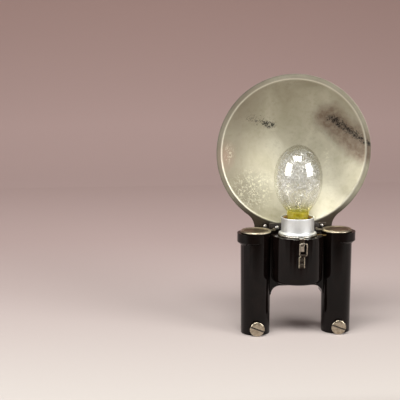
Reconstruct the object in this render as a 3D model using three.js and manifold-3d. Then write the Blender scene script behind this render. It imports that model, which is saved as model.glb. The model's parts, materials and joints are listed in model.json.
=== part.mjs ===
// Flash bulb gun: a two-legged Bakelite battery holder with a hinged socket and reflector.
// Millimetres, +Z up, the front (bulb and terminal screws) towards -Y.
// The pieces are drawn around the plane through both leg axes (Y = 0); the group at the end
// moves them so that the origin is the middle of the footprint, on the floor.
import * as THREE from 'three';
import { mergeVertices } from 'three/addons/utils/BufferGeometryUtils.js';
import Module from 'manifold-3d';

const wasm = await Module();
wasm.setup();

// ---- driving dimensions -------------------------------------------------------------------
const GAP = 0.3;              // clearance between touching pieces
const SHEET = 0.7;            // pressed sheet metal

const LEG_X = 40.75;          // leg axis from the middle
const LEG_FOOT_R = 14.4;
const LEG_TOP_R = 15.2;
const LEG_TOP = 102.2;
const BORE_R = 12.3;          // battery bore
const BORE_FLOOR = 14;
const LUG_R = 15.96;          // thickened mouth of each leg, set outward
const LUG_SHIFT = 2.53;
const LUG_BOTTOM = 93.5;
const LUG_CHAMFER = 3;

const BARREL_Y = -6.33;       // socket axis
const BARREL_R = 25.12;
const BARREL_TOP = 100.14;
const BARREL_BOTTOM = 53.6;
const BARREL_ROUND = 4;
const WELL_R = 18.2;          // hole that the socket hangs in
const WELL_FLOOR = 66;

const BACK_Y = 14.9;          // flat back of the moulding
const WEB_FRONT = -5;
const WEB_X = 34;
const ARCH_TOP = 48.5;
const ARCH_X = 26;
const ARCH_R = 9;

const TERM_X = 41;            // terminal screws
const TERM_Z = 7.5;
const TERM_HEAD_R = 7.4;
const TERM_FACE = 18.46;
const BOSS_R = 7.1;
const BOSS_FACE = 15.3;
const BUSH_R = 3.4;
const BUSH_BORE = 2.45;
const SHANK_R = 2.1;
const SHANK_END = 22;
const SLOT_TILT = 0.38;       // the coin slots are not quite level
const SLOT_HALF = 0.75;
const SLOT_DEPTH = 1.1;
const WASHER = 0.8;
const WASHER_R = 6.2;

const CELL_R = 11.9;
const CELL_BOTTOM = 49.5;
const CELL_HEIGHT = 46;
const SPRING_R = 8.4;
const SPRING_WIRE = 0.7;
const SPRING_TURNS = 4;
const SPRING_STEPS = 10;      // straight stretches in one turn

const RING_R = 19.1;          // flange ring that lies on the barrel
const RING_BOTTOM = BARREL_TOP + GAP;
const RING_TOP = 101.7;
const COLLAR_R = 16.24;
const COLLAR_TOP = 118.4;
const COLLAR_FOOT_R = 18.6;
const SHELL_R = 14.4;         // medium screw shell
const SHELL_BORE = 13.7;
const SHELL_BOTTOM = 87.3;
const BASE_R = 13.1;          // bulb base
const BASE_BOTTOM = 93;
const BASE_TOP = 113.5;

const BULB_R = 23.8;
const BULB_WIDE_Z = 156.8;
const BULB_TOP = 189.8;
const NECK_R = 11.0;
const NECK_BOTTOM = 110;
const NECK_TOP = 123.8;
const GLASS = 0.8;

const CAP_R = 15.23;          // battery caps
const CAP_BOTTOM = LEG_TOP + GAP;
const CAP_TOP = 104.2;

const BRIDGE_X = 25;          // black insulating bridge behind the socket
const BRIDGE_FRONT = 11.6;
const BRIDGE_BACK = 18.2;
const BRIDGE_TOP = 108;

const HINGE_Y = 18.6;
const HINGE_Z = 98.6;
const KNUCKLE_R = 2.0;
const PIN_R = 1.0;
const LEAF_Y = BRIDGE_BACK + GAP;
const RIVET_Z = 104.2;
const RIVET_OUTER = 28.6;
const RIVET_INNER = 17.6;

const DISH_Y = LEAF_Y + SHEET + GAP;   // front face of the reflector's flat rim
const DISH_Z = 179.2;
const DISH_R = 78;
const DISH_MOUTH_R = 73.2;
const DISH_DEPTH = 26;
const TONGUE_X = 39.3;
const TONGUE_BOTTOM = 101.4;
const TONGUE_FILLET = 18;

const STRIP_HALF = 2.4;       // front catch
const STRIP_Y = -(BARREL_R - BARREL_Y) - GAP;
const CATCH_Z = 94.6;
const BAIL_PIVOT_Y = -34.6;
const BAIL_PIVOT_Z = 85;
const BAIL_TOP_Y = -35.8;
const BAIL_TOP_Z = 97;
const BAIL_X = 1;             // the bail and its pivot stand a little to the right
const BAIL_HALF = 3.6;
const BAIL_WIRE = 0.7;
const KEEPER_BOTTOM = 72;
const KEEPER_HALF = 3.1;
const CURL_R = 1.8;
const CURL_HALF = 2.1;

const FRONT = BAIL_TOP_Y - BAIL_WIRE;
const BACK = DISH_Y + SHEET + DISH_DEPTH;

// ---- materials ----------------------------------------------------------------------------
function finish(color, roughness, metalness) {
  return new THREE.MeshStandardMaterial({ color, roughness, metalness });
}
const bakelite = finish(0x1c1411, 0.25, 0);
const fibre = finish(0x111111, 0.6, 0);
const brass = finish(0xb08d4a, 0.35, 1);
const steel = finish(0x9a9a98, 0.35, 1);
const aluminium = finish(0xa9a48c, 0.4, 1);
const dull = finish(0x8f8b74, 0.55, 1);
const glass = finish(0xdfe3e6, 0.05, 0);
const amber = finish(0xc2a24a, 0.4, 0);
const foil = finish(0xd8d8d8, 0.3, 1);
const paper = finish(0x3a3f46, 0.7, 0);

// ---- solid helpers ------------------------------------------------------------------------
// A geometry with shared vertices, no zero-area triangles and its faces pointing out.
function clean(geometry) {
  const bare = new THREE.BufferGeometry();
  bare.setAttribute('position', geometry.getAttribute('position'));
  if (geometry.index) bare.setIndex(geometry.index);
  const merged = mergeVertices(bare, 1e-4);
  const corners = merged.getAttribute('position').array;
  const source = merged.index.array;
  const kept = [];
  let volume = 0;
  const a = new THREE.Vector3();
  const b = new THREE.Vector3();
  const c = new THREE.Vector3();
  for (let i = 0; i < source.length; i += 3) {
    const [p, q, r] = [source[i], source[i + 1], source[i + 2]];
    if (p === q || q === r || r === p) continue;
    kept.push(p, q, r);
    a.fromArray(corners, p * 3);
    b.fromArray(corners, q * 3);
    c.fromArray(corners, r * 3);
    volume += a.dot(b.cross(c));
  }
  if (volume < 0) {
    for (let i = 0; i < kept.length; i += 3) [kept[i], kept[i + 1]] = [kept[i + 1], kept[i]];
  }
  merged.setIndex(kept);
  return merged;
}

function solid(geometry) {
  const tidy = clean(geometry);
  const vertProperties = new Float32Array(tidy.getAttribute('position').array);
  const triVerts = new Uint32Array(tidy.index.array);
  return new wasm.Manifold(new wasm.Mesh({ numProp: 3, vertProperties, triVerts }));
}

function geometryOf(body) {
  const mesh = body.getMesh();
  const geometry = new THREE.BufferGeometry();
  geometry.setAttribute('position', new THREE.BufferAttribute(mesh.vertProperties, 3));
  geometry.setIndex(new THREE.BufferAttribute(mesh.triVerts, 1));
  return geometry;
}

function joined(first, ...others) {
  return others.reduce((sum, other) => sum.add(other), first);
}

function cut(first, ...others) {
  return others.reduce((rest, other) => rest.subtract(other), first);
}

// A turned piece on the Z axis from (radius, height) points.
function turned(points, segments = 24) {
  const profile = points.map(([r, z]) => new THREE.Vector2(r, z));
  return new THREE.LatheGeometry(profile, segments).rotateX(Math.PI / 2);
}

// A closed ring: the same, but the profile returns to its first point.
function turnedRing(points, segments = 24) {
  return turned([...points, points[0]], segments);
}

function rod(radius, bottom, top, segments = 20) {
  return turned([[0, bottom], [radius, bottom], [radius, top], [0, top]], segments);
}

function tube(outer, inner, bottom, top, segments = 24) {
  return turnedRing([[outer, bottom], [outer, top], [inner, top], [inner, bottom]], segments);
}

function box(x0, x1, y0, y1, z0, z1) {
  const shape = new THREE.BoxGeometry(x1 - x0, y1 - y0, z1 - z0);
  return shape.translate((x0 + x1) / 2, (y0 + y1) / 2, (z0 + z1) / 2);
}

// Turns a piece made on the Z axis so that its top points to the front (-Y).
function facingFront(geometry) {
  return geometry.rotateX(Math.PI / 2);
}

function arcPoints(cx, cy, radius, start, end, steps) {
  const points = [];
  for (let i = 0; i <= steps; i += 1) {
    const angle = start + (end - start) * i / steps;
    points.push([cx + radius * Math.cos(angle), cy + radius * Math.sin(angle)]);
  }
  return points;
}

// A plate whose outline is drawn in X and Z, between two Y planes.
function plate(outline, yFront, yBack) {
  const shape = new THREE.Shape(outline.map(([x, z]) => new THREE.Vector2(x, z)));
  const geometry = new THREE.ExtrudeGeometry(shape, { depth: yBack - yFront, bevelEnabled: false });
  return geometry.rotateX(Math.PI / 2).translate(0, yBack, 0);
}

// A strip bent from sheet: its outline is drawn in Y and Z, between two X planes.
function bent(outline, x0, x1) {
  const shape = new THREE.Shape(outline.map(([y, z]) => new THREE.Vector2(y, z)));
  const geometry = new THREE.ExtrudeGeometry(shape, { depth: x1 - x0, bevelEnabled: false });
  const turn = new THREE.Matrix4().set(0, 0, 1, x0, 1, 0, 0, 0, 0, 1, 0, 0, 0, 0, 0, 1);
  return geometry.applyMatrix4(turn);
}

// Round wire along a curve.
function wire(curve, radius, steps, sides) {
  const section = new THREE.Shape();
  section.absarc(0, 0, radius, 0, Math.PI * 2);
  return new THREE.ExtrudeGeometry(section, {
    steps, curveSegments: sides / 2, bevelEnabled: false, extrudePath: curve,
  });
}

const gun = new THREE.Group();

function add(name, geometry, material, x = 0, y = 0, z = 0) {
  const mesh = new THREE.Mesh(clean(geometry), material);
  mesh.name = name;
  mesh.position.set(x, y, z);
  gun.add(mesh);
  return mesh;
}

const SIDES = [['left', -1], ['right', 1]];

// ---- moulded body -------------------------------------------------------------------------
function legSolid(side) {
  const shaft = turned([[0, 0], [LEG_FOOT_R - 0.6, 0], [LEG_FOOT_R, 0.6], [LEG_TOP_R, LEG_TOP],
    [0, LEG_TOP]], 32).translate(side * LEG_X, 0, 0);
  const lug = turned([[0, LUG_BOTTOM - LUG_CHAMFER], [LUG_R - LUG_CHAMFER, LUG_BOTTOM - LUG_CHAMFER],
    [LUG_R, LUG_BOTTOM], [LUG_R, LEG_TOP], [0, LEG_TOP]], 32)
    .translate(side * (LEG_X + LUG_SHIFT), 0, 0);
  const boss = facingFront(rod(BOSS_R, -BOSS_FACE, BOSS_FACE, 24))
    .translate(side * TERM_X, 0, TERM_Z);
  return joined(solid(shaft), solid(lug), solid(boss));
}

function legHollows(side) {
  const bore = rod(BORE_R, BORE_FLOOR, LEG_TOP + 5, 28).translate(side * LEG_X, 0, 0);
  const cross = facingFront(rod(BUSH_R + GAP, -30, 30, 16)).translate(side * TERM_X, 0, TERM_Z);
  const stud = rod(1.8, TERM_Z, BORE_FLOOR + 5, 12).translate(side * LEG_X, 0, 0);
  return [solid(bore), solid(cross), solid(stud)];
}

function barrelSolid() {
  const rounded = arcPoints(BARREL_R - BARREL_ROUND, BARREL_BOTTOM + BARREL_ROUND, BARREL_ROUND,
    -Math.PI / 2, 0, 3);
  const profile = [[0, BARREL_BOTTOM], ...rounded, [BARREL_R, BARREL_TOP], [0, BARREL_TOP]];
  const full = solid(turned(profile, 40).translate(0, BARREL_Y, 0));
  return cut(full, solid(box(-40, 40, BACK_Y, BACK_Y + 20, 40, 110)));
}

function webSolid() {
  const foot = ARCH_TOP - ARCH_R;
  const inner = ARCH_X - ARCH_R;
  const outline = [[-WEB_X, BARREL_TOP], [-WEB_X, foot],
    ...arcPoints(-inner, foot, ARCH_R, Math.PI, Math.PI / 2, 4),
    ...arcPoints(inner, foot, ARCH_R, Math.PI / 2, 0, 4),
    [WEB_X, foot], [WEB_X, BARREL_TOP]];
  return solid(plate(outline, WEB_FRONT, BACK_Y));
}

const LEAD_LOW = 83.2;           // the strip that joins the right battery to the bulb
const LEAD_HIGH = 99.2;
const LEAD_HALF = 2;
const LEAF_SCREW_X = 15;
const LEAF_SCREW_Z = 90;
const KEEPER_RIVET_Z = [75, 80.5];
const HOLE_R = 1.4;

function bodyShell() {
  let body = joined(legSolid(-1), legSolid(1), barrelSolid(), webSolid());
  body = cut(body, ...legHollows(-1), ...legHollows(1));
  body = cut(body, solid(rod(WELL_R, WELL_FLOOR, BARREL_TOP + 5, 32).translate(0, BARREL_Y, 0)));
  const room = LEAD_HALF + 0.4;
  body = cut(body, solid(box(WELL_R - 2, LEG_X - 7, BARREL_Y - room, BARREL_Y + room,
    LEAD_HIGH - GAP, LEG_TOP + 1)));
  for (const z of KEEPER_RIVET_Z) {
    body = cut(body, solid(facingFront(rod(HOLE_R, 27, 40, 12)).translate(0, 0, z)));
  }
  for (const [, side] of SIDES) {
    const hole = facingFront(rod(HOLE_R, -20, -11.5, 12)).translate(side * LEAF_SCREW_X, 0, LEAF_SCREW_Z);
    body = cut(body, solid(hole));
  }
  return geometryOf(body);
}
add('body_shell', bodyShell(), bakelite);

// ---- battery legs: bushing, contact plate, spring and cell ---------------------------------
function springCurve() {
  const bottom = BORE_FLOOR + GAP + 1 + GAP + SPRING_WIRE;
  const height = CELL_BOTTOM - GAP - SPRING_WIRE - bottom;
  const points = [];
  const steps = SPRING_TURNS * SPRING_STEPS;
  for (let i = 0; i <= steps; i += 1) {
    const t = i / steps;
    const angle = t * SPRING_TURNS * Math.PI * 2;
    points.push(new THREE.Vector3(SPRING_R * Math.cos(angle), SPRING_R * Math.sin(angle),
      bottom + t * height));
  }
  return new THREE.CatmullRomCurve3(points);
}

function contactPlate() {
  const stud = 10.9 + GAP;
  return turned([[0, stud], [1.5, stud], [1.5, BORE_FLOOR + GAP], [11.6, BORE_FLOOR + GAP],
    [11.6, BORE_FLOOR + GAP + 1], [0, BORE_FLOOR + GAP + 1]]);
}

function cell() {
  const top = CELL_BOTTOM + CELL_HEIGHT;
  return turned([[0, CELL_BOTTOM], [CELL_R - 0.5, CELL_BOTTOM], [CELL_R, CELL_BOTTOM + 0.5],
    [CELL_R, top - 0.8], [CELL_R - 0.8, top], [0, top]]);
}

const TIP_BOTTOM = CELL_BOTTOM + CELL_HEIGHT + GAP;
const TIP_TOP = 98.4;

for (const [label, side] of SIDES) {
  const x = side * LEG_X;
  const bushing = facingFront(tube(BUSH_R, BUSH_BORE, -BOSS_FACE, BOSS_FACE, 16));
  add(`terminal_bushing_${label}`, bushing, brass, side * TERM_X, 0, TERM_Z);
  add(`contact_plate_${label}`, contactPlate(), brass, x);
  add(`battery_spring_${label}`, wire(springCurve(), SPRING_WIRE, SPRING_TURNS * SPRING_STEPS, 6), steel,
    x);
  add(`battery_cell_${label}`, cell(), paper, x);
  const tip = turned([[0, TIP_BOTTOM], [4.6, TIP_BOTTOM], [4.2, TIP_TOP - 0.5], [3.6, TIP_TOP],
    [0, TIP_TOP]], 20);
  add(`battery_tip_${label}`, tip, brass, x);
}

// ---- terminal screws -----------------------------------------------------------------------
function terminalScrew() {
  const back = BOSS_FACE + GAP + WASHER + GAP;
  const profile = [[0, -SHANK_END], [SHANK_R - 0.6, -SHANK_END], [SHANK_R, -SHANK_END + 0.6],
    [SHANK_R, back], [TERM_HEAD_R - 0.3, back], [TERM_HEAD_R, back + 0.3],
    [TERM_HEAD_R, TERM_FACE - 0.5], [TERM_HEAD_R - 0.5, TERM_FACE], [0, TERM_FACE]];
  const slot = box(-20, 20, -SLOT_HALF, SLOT_HALF, TERM_FACE - SLOT_DEPTH, TERM_FACE + 5)
    .rotateZ(-SLOT_TILT);
  return facingFront(geometryOf(cut(solid(turned(profile, 24)), solid(slot))));
}

for (const [label, side] of SIDES) {
  add(`terminal_screw_${label}`, terminalScrew(), brass, side * TERM_X, 0, TERM_Z);
  const seat = BOSS_FACE + GAP;
  const washer = facingFront(tube(WASHER_R, SHANK_R + 0.35, seat, seat + WASHER, 20));
  add(`terminal_washer_${label}`, washer, steel, side * TERM_X, 0, TERM_Z);
}

// ---- front catch: keeper on the barrel and wire bail ---------------------------------------
function keeper() {
  const face = STRIP_Y;
  const back = face - SHEET;
  const flat = bent([[face, KEEPER_BOTTOM], [back, KEEPER_BOTTOM], [back, BAIL_PIVOT_Z - 1],
    [face, BAIL_PIVOT_Z - 1]], -KEEPER_HALF, KEEPER_HALF);
  const arm = bent([[face, BAIL_PIVOT_Z - 1.6], [face, BAIL_PIVOT_Z + 0.4],
    [BAIL_PIVOT_Y + 1, BAIL_PIVOT_Z + 0.4], [BAIL_PIVOT_Y + 1, BAIL_PIVOT_Z - 1.6]],
    BAIL_X - CURL_HALF, BAIL_X + CURL_HALF);
  const curl = rod(CURL_R, -CURL_HALF, CURL_HALF, 20).rotateY(Math.PI / 2)
    .translate(BAIL_X, BAIL_PIVOT_Y, BAIL_PIVOT_Z);
  const eye = rod(BAIL_WIRE + 0.35, -5, 5, 16).rotateY(Math.PI / 2)
    .translate(0, BAIL_PIVOT_Y, BAIL_PIVOT_Z);
  let body = cut(joined(solid(flat), solid(arm), solid(curl)), solid(eye));
  for (const z of KEEPER_RIVET_Z) {
    body = cut(body, solid(facingFront(rod(HOLE_R, 27, 40, 12)).translate(0, 0, z)));
  }
  return geometryOf(body);
}
add('latch_keeper', keeper(), steel);

function domeRivet(headR, headHeight, headSeat, shankR, shankEnd) {
  return turned([[0, shankEnd], [shankR, shankEnd], [shankR, headSeat], [headR, headSeat],
    [headR * 0.75, headSeat + headHeight * 0.75], [0, headSeat + headHeight]], 12);
}

KEEPER_RIVET_Z.forEach((z, i) => {
  const seat = -(STRIP_Y - SHEET) + GAP;
  const rivet = facingFront(domeRivet(2.0, 0.8, seat, HOLE_R - GAP, seat - 4));
  add(`keeper_rivet_${i + 1}`, rivet, steel, 0, 0, z);
});

function bail() {
  const corner = 1.6;
  const lean = (BAIL_TOP_Y - BAIL_PIVOT_Y) / (BAIL_TOP_Z - BAIL_PIVOT_Z);
  const height = BAIL_TOP_Z - BAIL_PIVOT_Z;
  const side = BAIL_HALF - corner;
  const outline = [[0.5, 0],
    ...arcPoints(side, corner, corner, -Math.PI / 2, 0, 4),
    ...arcPoints(side, height - corner, corner, 0, Math.PI / 2, 4),
    ...arcPoints(-side, height - corner, corner, Math.PI / 2, Math.PI, 4),
    ...arcPoints(-side, corner, corner, Math.PI, Math.PI * 1.5, 4), [-0.5, 0]];
  const points = outline.map(([x, z]) => (
    new THREE.Vector3(x + BAIL_X, BAIL_PIVOT_Y + z * lean, BAIL_PIVOT_Z + z)));
  return new THREE.CatmullRomCurve3(points, false, 'catmullrom', 0.2);
}
add('latch_bail', wire(bail(), BAIL_WIRE, 36, 8), steel);

// ---- rear hinge ------------------------------------------------------------------------------
function knuckle(x0, x1) {
  return solid(rod(KNUCKLE_R, x0, x1, 16).rotateY(Math.PI / 2).translate(0, HINGE_Y, HINGE_Z));
}

const pinHole = solid(rod(PIN_R + GAP, -60, 60, 12).rotateY(Math.PI / 2)
  .translate(0, HINGE_Y, HINGE_Z));
const KNUCKLE_SPLIT = [8, 22];   // the fixed leaf holds the middle and outer knuckles

function lowerLeaf() {
  const face = BACK_Y + GAP;
  const flat = solid(box(-30, 30, face, face + SHEET, 85, HINGE_Z));
  let leaf = flat;
  for (const [x0, x1] of [[-30, -KNUCKLE_SPLIT[1]], [-KNUCKLE_SPLIT[0], KNUCKLE_SPLIT[0]],
    [KNUCKLE_SPLIT[1], 30]]) {
    const neck = solid(box(x0, x1, face, HINGE_Y, HINGE_Z - KNUCKLE_R, HINGE_Z - KNUCKLE_R + SHEET));
    leaf = joined(leaf, neck, knuckle(x0, x1));
  }
  leaf = cut(leaf, solid(box(-30.1, 30.1, face - 0.1, HINGE_Y - KNUCKLE_R - 0.05,
    HINGE_Z - KNUCKLE_R + SHEET, HINGE_Z + 0.1)));
  leaf = cut(leaf, pinHole);
  for (const [, side] of SIDES) {
    leaf = cut(leaf, solid(facingFront(rod(HOLE_R, -20, -11.5, 12))
      .translate(side * LEAF_SCREW_X, 0, LEAF_SCREW_Z)));
  }
  return geometryOf(leaf);
}
add('hinge_leaf_lower', lowerLeaf(), steel);

for (const [label, side] of SIDES) {
  const seat = BACK_Y + GAP + SHEET + GAP;
  const screw = domeRivet(2.6, 1.2, seat, HOLE_R - GAP, seat - 4);
  add(`hinge_screw_${label}`, screw.rotateX(-Math.PI / 2), steel, side * LEAF_SCREW_X, 0, LEAF_SCREW_Z);
}

add('hinge_pin', rod(PIN_R, -30.8, 30.8, 12).rotateY(Math.PI / 2), steel, 0, HINGE_Y, HINGE_Z);

function rivetHoles() {
  const holes = [];
  for (const x of [-RIVET_OUTER, -RIVET_INNER, RIVET_INNER, RIVET_OUTER]) {
    holes.push(solid(facingFront(rod(HOLE_R, -25, 0, 12)).translate(x, 0, RIVET_Z)));
  }
  return holes;
}

function upperLeaf() {
  let leaf = solid(box(-33, 33, LEAF_Y, LEAF_Y + SHEET, HINGE_Z, 107.4));
  const clear = KNUCKLE_R + GAP;
  for (const [x0, x1] of [[-34, -KNUCKLE_SPLIT[1] + GAP], [-KNUCKLE_SPLIT[0] - GAP, KNUCKLE_SPLIT[0] + GAP],
    [KNUCKLE_SPLIT[1] - GAP, 34]]) {
    leaf = cut(leaf, solid(box(x0, x1, LEAF_Y - 1, LEAF_Y + 2, HINGE_Z - 1, HINGE_Z + clear)));
  }
  for (const side of [-1, 1]) {
    const ends = [side * (KNUCKLE_SPLIT[0] + GAP), side * (KNUCKLE_SPLIT[1] - GAP)];
    leaf = joined(leaf, knuckle(Math.min(...ends), Math.max(...ends)));
  }
  return geometryOf(cut(leaf, pinHole, ...rivetHoles()));
}
add('hinge_leaf_upper', upperLeaf(), steel);

// ---- socket cover ----------------------------------------------------------------------------
function bridge() {
  const block = solid(box(-BRIDGE_X, BRIDGE_X, BRIDGE_FRONT, BRIDGE_BACK, 102.4, BRIDGE_TOP));
  const recess = solid(rod(COLLAR_FOOT_R + GAP, 100, 110, 48).translate(0, BARREL_Y, 0));
  return geometryOf(cut(block, recess, ...rivetHoles()));
}
add('insulating_bridge', bridge(), fibre);

[-RIVET_OUTER, -RIVET_INNER, RIVET_INNER, RIVET_OUTER].forEach((x, i) => {
  const outer = Math.abs(x) > BRIDGE_X;
  const seat = outer ? -LEAF_Y + GAP : -BRIDGE_FRONT + GAP;
  const end = -(DISH_Y + SHEET + 0.6);
  add(`reflector_rivet_${i + 1}`, facingFront(domeRivet(2.1, 1.1, seat, HOLE_R - GAP, end)), steel,
    x, 0, RIVET_Z);
});

function flangeRing() {
  const ring = solid(tube(RING_R, SHELL_R + GAP, RING_BOTTOM, RING_TOP, 36).translate(0, BARREL_Y, 0));
  const outer = STRIP_Y - SHEET;
  const drop = bent([[BARREL_Y - RING_R + 1, RING_TOP - SHEET], [BARREL_Y - RING_R + 1, RING_TOP],
    [outer + 0.8, RING_TOP], [outer, RING_TOP - 0.8], [outer, CATCH_Z],
    [outer - 0.9, CATCH_Z + 0.2], [outer - 0.9, CATCH_Z - 0.5], [outer, CATCH_Z - 0.7], [outer, 88.5],
    [STRIP_Y, 88.5], [STRIP_Y, RING_TOP - SHEET]], -STRIP_HALF, STRIP_HALF);
  const rear = solid(box(-12, 12, BARREL_Y + RING_R - 4, HINGE_Y - KNUCKLE_R - 2 * GAP, RING_BOTTOM,
    RING_TOP));
  const hole = solid(rod(SHELL_R + GAP, 90, 110, 36).translate(0, BARREL_Y, 0));
  return geometryOf(cut(joined(ring, solid(drop), rear), hole));
}
add('flange_ring', flangeRing(), dull);

function collar() {
  const foot = RING_TOP + GAP;
  const inner = COLLAR_R - 0.8;
  return turnedRing([[COLLAR_FOOT_R, foot], [COLLAR_FOOT_R, foot + 0.8], [COLLAR_R + 0.7, foot + 1.5],
    [COLLAR_R, foot + 3], [COLLAR_R, COLLAR_TOP - 0.6], [COLLAR_R - 0.3, COLLAR_TOP],
    [inner, COLLAR_TOP - 0.3], [inner, foot]], 32);
}
add('socket_collar', collar(), aluminium, 0, BARREL_Y);
add('socket_sleeve', tube(15.1, SHELL_R + GAP, RING_TOP + GAP, 117.2, 24), fibre, 0, BARREL_Y);
add('socket_shell', tube(SHELL_R, SHELL_BORE, SHELL_BOTTOM, 117.6, 28), brass, 0, BARREL_Y);
add('socket_floor', tube(SHELL_R, 1.6, 84.6, SHELL_BOTTOM - GAP, 24), fibre, 0, BARREL_Y);

function centreContact() {
  return turned([[0, 83.2], [3.4, 83.2], [3.4, 84.3], [1.3, 84.3], [1.3, 87.3], [4.2, 87.3],
    [3.2, 88.3], [0, 88.8]], 12);
}
add('centre_contact', centreContact(), brass, 0, BARREL_Y);

// Strip from the right-hand battery contact, down the well and under the socket floor.
function leadStrip() {
  const inner = 3.7;
  const drop = 16.4;
  const end = LEG_X - 7.5 - 0.35;
  const thick = 0.6;
  const run = [[inner, LEAD_LOW], [drop, LEAD_LOW], [drop, LEAD_HIGH], [end, LEAD_HIGH],
    [end, LEAD_HIGH + thick], [drop - thick, LEAD_HIGH + thick], [drop - thick, LEAD_LOW + thick],
    [inner, LEAD_LOW + thick]];
  return plate(run, BARREL_Y - LEAD_HALF, BARREL_Y + LEAD_HALF);
}
add('lead_strip', leadStrip(), brass);

function cap(side) {
  const rim = CAP_TOP;
  const dish = turned([[0, CAP_BOTTOM], [CAP_R - 1, CAP_BOTTOM], [CAP_R, CAP_BOTTOM + 0.8],
    [CAP_R, rim - 0.5], [CAP_R - 0.7, rim], [CAP_R - 1.8, rim - 0.3], [CAP_R - 3.2, rim - 1],
    [0, rim - 0.9]], 32);
  const end = side * 21.5;
  const root = side * (LEG_X - CAP_R + 2);
  const tab = box(Math.min(end, root), Math.max(end, root), 4.2, 9, CAP_BOTTOM, CAP_BOTTOM + 0.8);
  const curl = rod(1.1, 4.2, 9, 10).rotateX(-Math.PI / 2).translate(end, 0, CAP_BOTTOM + 1);
  const placed = solid(dish.translate(side * LEG_X, 0, 0));
  return geometryOf(joined(placed, solid(tab), solid(curl)));
}

for (const [label, side] of SIDES) {
  add(`battery_cap_${label}`, cap(side), dull);
  const x = side * LEG_X;
  add(`cap_washer_${label}`, tube(11, 2.2, 100.6, CAP_BOTTOM - GAP, 20), fibre, x);
  const contact = turned([[0, 98.8], [5.5, 98.8], [7.5, 100.3], [0, 100.3]], 16);
  add(`cap_contact_${label}`, contact, brass, x);
}

// ---- reflector --------------------------------------------------------------------------------
function dishProfile() {
  const sphere = (DISH_MOUTH_R ** 2 + DISH_DEPTH ** 2) / (2 * DISH_DEPTH);
  const half = Math.asin(DISH_MOUTH_R / sphere);
  const front = [];
  const back = [];
  const steps = 6;
  for (let i = 0; i <= steps; i += 1) {
    const angle = half * i / steps;
    const drop = sphere * Math.cos(angle) - (sphere - DISH_DEPTH);
    front.push([sphere * Math.sin(angle), -drop]);
    back.push([(sphere + SHEET) * Math.sin(angle), -drop - SHEET * Math.cos(angle)]);
  }
  back.pop();
  return [...front, [DISH_R, 0], [DISH_R, -SHEET], [DISH_MOUTH_R + 1, -SHEET], ...back.reverse()];
}

function reflector() {
  const dish = solid(facingFront(turned(dishProfile(), 44)));
  const reach = DISH_R + TONGUE_FILLET;
  const fx = TONGUE_X + TONGUE_FILLET;
  const fz = -Math.sqrt(reach ** 2 - fx ** 2);
  const bottom = TONGUE_BOTTOM - DISH_Z;
  const meet = Math.atan2(-fz, -fx);
  const arc = arcPoints(fx, fz, TONGUE_FILLET, Math.PI, meet, 5);
  const right = [[TONGUE_X, bottom], ...arc];
  const left = right.map(([x, z]) => [-x, z]).reverse();
  const seat = DISH_R - 2;
  const start = Math.atan2(fz, fx);
  const top = arcPoints(0, 0, seat, start, -Math.PI - start, 8);
  const tongue = solid(plate([...right, ...top, ...left], 0, SHEET));
  const both = joined(dish, tongue).translate(0, DISH_Y, DISH_Z);
  return geometryOf(cut(both, ...rivetHoles()));
}
add('reflector', reflector(), aluminium);

// ---- bulb ---------------------------------------------------------------------------------------
// Outer outline of the glass from the neck to the top: an egg with a round crown on a neck.
function glassOutline(inset) {
  const side = [[NECK_R, NECK_BOTTOM]];
  const drop = BULB_WIDE_Z - NECK_TOP;
  for (const t of [1, 0.88, 0.72, 0.52, 0.28, 0]) {
    side.push([NECK_R + (BULB_R - NECK_R) * (1 - t ** 2.5) ** 1.1, BULB_WIDE_Z - drop * t]);
  }
  const crownHeight = BULB_TOP - BULB_WIDE_Z;
  const rows = 5;
  for (let i = 1; i <= rows; i += 1) {
    const angle = i / rows * Math.PI / 2;
    side.push([BULB_R * Math.cos(angle), BULB_WIDE_Z + crownHeight * Math.sin(angle) ** 1.08]);
  }
  return side.map(([r, z], i) => {
    if (i === side.length - 1) return [0, z - inset];
    return [r - inset, z > BULB_WIDE_Z ? z - inset * (z - BULB_WIDE_Z) / crownHeight : z];
  });
}
const glassWall = [...glassOutline(0), ...glassOutline(GLASS).reverse()];
add('bulb_glass', turnedRing(glassWall, 28), glass, 0, BARREL_Y);

const foilShape = [[0, 134], [8, 135.5], [14, 142], [19, 150], [20.6, 158], [18.6, 168],
  [13, 178], [6, 184], [0, 185.4]];
add('foil_fill', turned(foilShape, 16), foil, 0, BARREL_Y);

const stem = [[0, 108], [8.6, 108], [8.6, 121], [7.6, 124], [3.4, 128.2], [3, 131.4], [0, 132]];
add('glass_stem', turned(stem, 16), amber, 0, BARREL_Y);

add('base_shell', tube(BASE_R, BASE_R - 0.7, BASE_BOTTOM, BASE_TOP, 28), brass, 0, BARREL_Y);
add('base_insulator', turned([[0, 90.6], [5.4, 90.6], [11.8, 93.4], [11.8, 95], [0, 95]], 20), fibre,
  0, BARREL_Y);
add('base_contact', turned([[0, 89.1], [2.6, 89.3], [4.2, 90.3], [0, 90.3]], 16), brass,
  0, BARREL_Y);

// ---- placing ------------------------------------------------------------------------------------
gun.position.y = -(FRONT + BACK) / 2;

export default gun;
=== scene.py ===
import json
import math
import random

import bmesh
import bpy
from mathutils import Matrix, Vector, noise


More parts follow.
